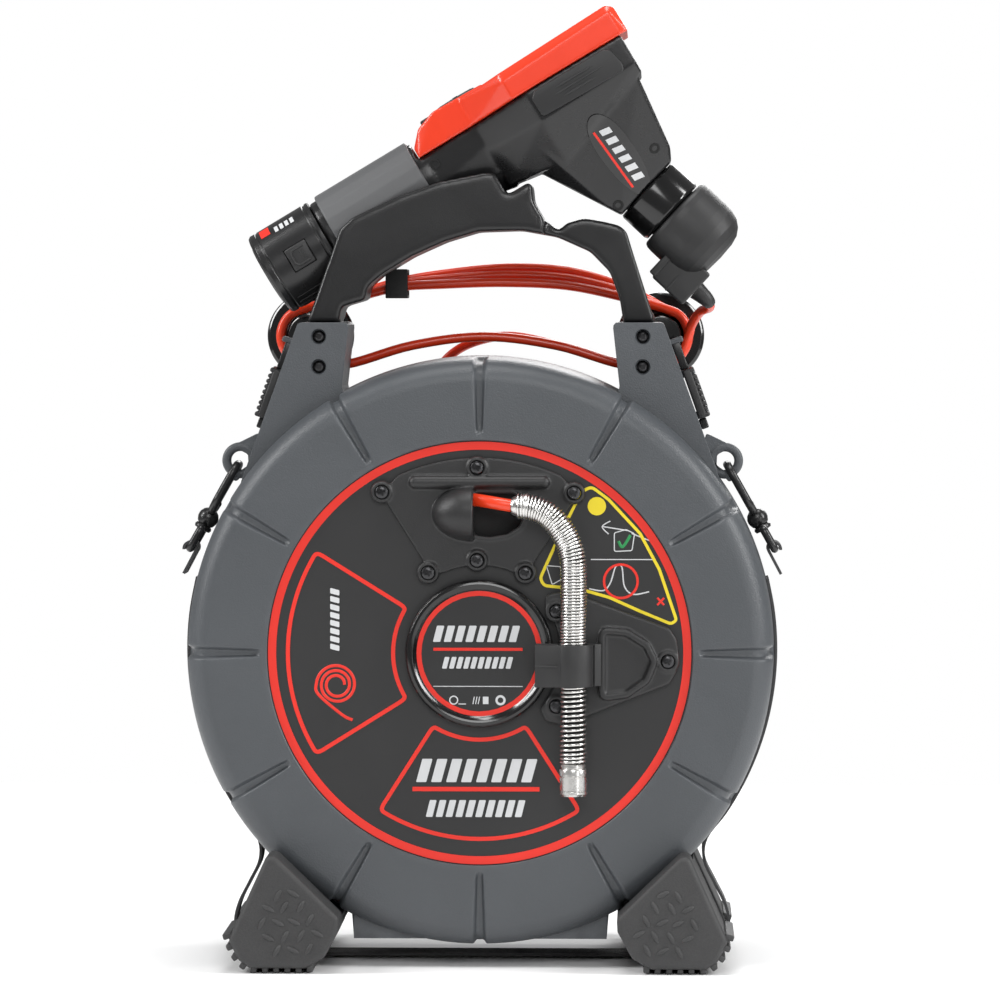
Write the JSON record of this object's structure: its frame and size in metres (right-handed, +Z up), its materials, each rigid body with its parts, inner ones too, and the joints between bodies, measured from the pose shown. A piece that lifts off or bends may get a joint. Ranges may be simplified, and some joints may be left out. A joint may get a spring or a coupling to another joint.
{
  "type": "pipe inspection reel",
  "caption": "Round drum reel in a moulded case on rubber feet, with a spring-tipped push camera clipped to its front and a hand-held monitor docked in its carrying handle.",
  "frame": {"origin": "centre of the bounding box's base, on the floor under the feet", "axes": "+Z up, +Y from the front panel to the rear of the case, +X to the right seen from the front; the drum turns about Y"},
  "size_m": [0.3456, 0.178, 0.5453],
  "materials": {
    "case_slate": "fine texture",
    "black_plastic": "satin",
    "black_rubber": "matt",
    "orange_jacket": "satin",
    "orange_plastic": "satin",
    "steel": "brushed",
    "dark_steel": "blackened",
    "clear": "polished",
    "grey_plastic": "matt",
    "webbing": "woven"
  },
  "bodies": {
    "reel": {"front_case": "case_slate", "rear_case": "case_slate", "front_panel": "black_plastic", "port_plate": "black_plastic", "port_screw_1": "dark_steel", "port_screw_2": "dark_steel", "port_screw_3": "dark_steel", "port_screw_4": "dark_steel", "port_screw_5": "dark_steel", "port_screw_6": "dark_steel", "clip_base": "black_plastic", "clip_screw_1": "dark_steel", "clip_screw_2": "dark_steel", "clip_screw_3": "dark_steel", "camera_clip": "black_rubber", "hub_cap": "black_plastic", "axle": "steel", "foot_front_left": "black_rubber", "foot_front_right": "black_rubber", "foot_rear_left": "black_rubber", "foot_rear_right": "black_rubber", "push_cable_lead": "orange_jacket", "camera_spring": "steel", "camera_head": "steel", "camera_window": "clear", "cord_spool_left": "black_plastic", "cord_spool_right": "black_plastic", "cord_clip": "black_plastic", "monitor_cord": "orange_jacket", "plug_body": "black_rubber", "handle": "black_plastic", "handle_screw_1": "dark_steel", "handle_screw_2": "dark_steel", "handle_screw_3": "dark_steel", "handle_screw_4": "dark_steel", "shoulder_strap": "webbing"},
    "drum": {"drum": "grey_plastic", "push_cable_coil": "orange_jacket"},
    "coupling": {"coupling_ring": "black_plastic"},
    "latch_left": {"side_latch_left": "black_plastic"},
    "latch_right": {"side_latch_right": "black_plastic"},
    "hook_left": {"snap_hook_left": "black_plastic", "strap_end_left": "webbing"},
    "hook_right": {"snap_hook_right": "black_plastic", "strap_end_right": "webbing"},
    "gate_left": {"snap_gate_left": "steel"},
    "gate_right": {"snap_gate_right": "steel"},
    "handset": {"handset_shell_near": "black_plastic", "handset_shell_far": "black_plastic", "handset_bezel": "orange_plastic", "screen": "clear", "grip_pad": "grey_plastic"},
    "cover": {"port_cover": "black_rubber"},
    "battery": {"battery_pack": "black_plastic"},
    "release_near": {"battery_release_near": "black_rubber"},
    "release_far": {"battery_release_far": "black_rubber"},
    "nav": {"nav_ring": "black_rubber"},
    "select": {"select_button": "grey_plastic"},
    "menu": {"menu_button": "black_rubber"},
    "power": {"power_button": "black_rubber"}
  },
  "joints": [
    {"name": "drum_spin", "type": "hinge", "parent": "reel", "child": "drum", "pos_m": [0, 0, 0.179], "axis": [0, 1, 0], "continuous": true},
    {"name": "handset_lift", "type": "slide", "parent": "reel", "child": "handset", "axis": [-0.7312, 0, 0.6822], "range_m": [0, 0.12]},
    {"name": "battery_slide", "type": "slide", "parent": "handset", "child": "battery", "axis": [-0.8572, 0, -0.515], "range_m": [0, 0.055]},
    {"name": "release_near_press", "type": "slide", "parent": "battery", "child": "release_near", "axis": [0, 1, 0], "range_m": [0, 0.0015], "stiffness_N_per_m": 500},
    {"name": "release_far_press", "type": "slide", "parent": "battery", "child": "release_far", "axis": [0, -1, 0], "range_m": [0, 0.0015], "stiffness_N_per_m": 500},
    {"name": "nav_press", "type": "slide", "parent": "handset", "child": "nav", "axis": [0.515, 0, -0.8572], "range_m": [0, 0.0007], "stiffness_N_per_m": 600},
    {"name": "select_press", "type": "slide", "parent": "handset", "child": "select", "axis": [0.515, 0, -0.8572], "range_m": [0, 0.0007], "stiffness_N_per_m": 600},
    {"name": "menu_press", "type": "slide", "parent": "handset", "child": "menu", "axis": [0.515, 0, -0.8572], "range_m": [0, 0.0007], "stiffness_N_per_m": 600},
    {"name": "power_press", "type": "slide", "parent": "handset", "child": "power", "axis": [0.515, 0, -0.8572], "range_m": [0, 0.0007], "stiffness_N_per_m": 600},
    {"name": "cover_hinge", "type": "hinge", "parent": "handset", "child": "cover", "pos_m": [0.05828, -0.0515, 0.4956], "axis": [0.8572, 0, 0.515], "range_deg": [0, 100]},
    {"name": "coupling_turn", "type": "hinge", "parent": "reel", "child": "coupling", "pos_m": [0.094, 0, 0.4428], "axis": [0.7312, 0, -0.6822], "range_deg": [0, 60]},
    {"name": "latch_left_hinge", "type": "hinge", "parent": "reel", "child": "latch_left", "pos_m": [-0.12315, 0.0125, 0.32548], "axis": [-0.3357, 0, -0.942], "range_deg": [0, 100]},
    {"name": "latch_right_hinge", "type": "hinge", "parent": "reel", "child": "latch_right", "pos_m": [0.12315, 0.0125, 0.32548], "axis": [-0.3357, 0, 0.942], "range_deg": [0, 100]},
    {"name": "hook_left_swing", "type": "hinge", "parent": "reel", "child": "hook_left", "pos_m": [-0.1394, -0.003, 0.2865], "axis": [0, 1, 0], "range_deg": [0, 60]},
    {"name": "hook_right_swing", "type": "hinge", "parent": "reel", "child": "hook_right", "pos_m": [0.1394, -0.003, 0.2865], "axis": [0, -1, 0], "range_deg": [0, 60]},
    {"name": "gate_left_open", "type": "hinge", "parent": "hook_left", "child": "gate_left", "pos_m": [-0.15256, 0.0095, 0.26315], "axis": [0.8711, 0, -0.4911], "range_deg": [0, 22], "stiffness_Nm_per_rad": 0.02},
    {"name": "gate_right_open", "type": "hinge", "parent": "hook_right", "child": "gate_right", "pos_m": [0.15256, 0.0095, 0.26315], "axis": [0.8711, 0, 0.4911], "range_deg": [0, 22], "stiffness_Nm_per_rad": 0.02}
  ]
}
